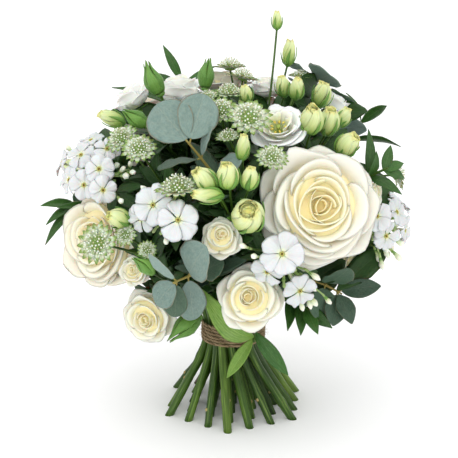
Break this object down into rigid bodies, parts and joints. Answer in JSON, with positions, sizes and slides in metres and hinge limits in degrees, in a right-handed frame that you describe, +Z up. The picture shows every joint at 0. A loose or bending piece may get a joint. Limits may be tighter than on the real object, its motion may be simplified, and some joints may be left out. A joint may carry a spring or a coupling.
{
  "type": "bouquet",
  "caption": "Hand-tied dome of cream roses, spray roses, lisianthus, phlox and astrantia with eucalyptus and ruscus, bound with twine, standing on its cut stems",
  "frame": {"origin": "floor level under the middle of the bouquet's outline; the twine binding stands about over it", "axes": "+Z up from the cut stem ends to the flowers, front of the picture towards -Y, its right towards +X"},
  "size_m": [0.3078, 0.3094, 0.3397],
  "materials": {
    "rose_petals": "soft satin petals, cream in the heart and whiter outside",
    "spray_rose_petals": "soft satin petals, cream to white",
    "lisianthus_petals": "ruffled white petals with a yellow-green throat",
    "phlox_petals": "cool white petals with a yellow-green eye",
    "astrantia": "papery pale green bracts round white florets, on green stalks",
    "green_stems": "smooth green stems, calyxes and closed buds",
    "bud_stems": "slender green stalks with cream-green buds",
    "eucalyptus_leaves": "matt grey-green round leaves with pale edges, on tan stalks",
    "ruscus_leaves": "satin dark green narrow leaves",
    "broad_leaves": "satin light green broad leaves",
    "twine": "coarse brown jute"
  },
  "bodies": {
    "root": {"large_rose_1": "rose_petals", "large_rose_2": "rose_petals", "large_rose_3": "rose_petals", "large_rose_4": "rose_petals", "spray_rose_1": "spray_rose_petals", "spray_rose_2": "spray_rose_petals", "spray_rose_3": "spray_rose_petals", "spray_rose_4": "spray_rose_petals", "spray_rose_5": "spray_rose_petals", "spray_rose_6": "spray_rose_petals", "spray_rose_7": "spray_rose_petals", "spray_rose_8": "spray_rose_petals", "spray_rose_9": "spray_rose_petals", "spray_rose_10": "spray_rose_petals", "spray_rose_11": "spray_rose_petals", "spray_rose_12": "spray_rose_petals", "lisianthus_flower_1": "lisianthus_petals", "lisianthus_flower_2": "lisianthus_petals", "phlox_flowers_1": "phlox_petals", "phlox_flowers_2": "phlox_petals", "phlox_flowers_3": "phlox_petals", "phlox_flowers_4": "phlox_petals", "phlox_flowers_5": "phlox_petals", "twine_binding": "twine", "large_rose_stem_1": "green_stems", "large_rose_stem_2": "green_stems", "large_rose_stem_3": "green_stems", "large_rose_stem_4": "green_stems", "spray_rose_stem_1": "green_stems", "spray_rose_stem_2": "green_stems", "spray_rose_stem_3": "green_stems", "spray_rose_stem_4": "green_stems", "spray_rose_stem_5": "green_stems", "spray_rose_stem_6": "green_stems", "lisianthus_stem_1": "bud_stems", "lisianthus_stem_2": "bud_stems", "lisianthus_stem_3": "bud_stems", "lisianthus_stem_4": "bud_stems", "lisianthus_stem_5": "bud_stems", "phlox_stem_1": "bud_stems", "phlox_stem_2": "bud_stems", "phlox_stem_3": "bud_stems", "phlox_stem_4": "bud_stems", "phlox_stem_5": "bud_stems", "astrantia_spray_1": "astrantia", "astrantia_spray_2": "astrantia", "astrantia_spray_3": "astrantia", "astrantia_spray_4": "astrantia", "astrantia_spray_5": "astrantia", "eucalyptus_spray_1": "eucalyptus_leaves", "eucalyptus_spray_2": "eucalyptus_leaves", "eucalyptus_spray_3": "eucalyptus_leaves", "eucalyptus_spray_4": "eucalyptus_leaves", "eucalyptus_spray_5": "eucalyptus_leaves", "ruscus_spray_1": "ruscus_leaves", "ruscus_spray_2": "ruscus_leaves", "ruscus_spray_3": "ruscus_leaves", "ruscus_spray_4": "ruscus_leaves", "ruscus_spray_5": "ruscus_leaves", "broad_leaf_spray": "broad_leaves"}
  },
  "joints": []
}
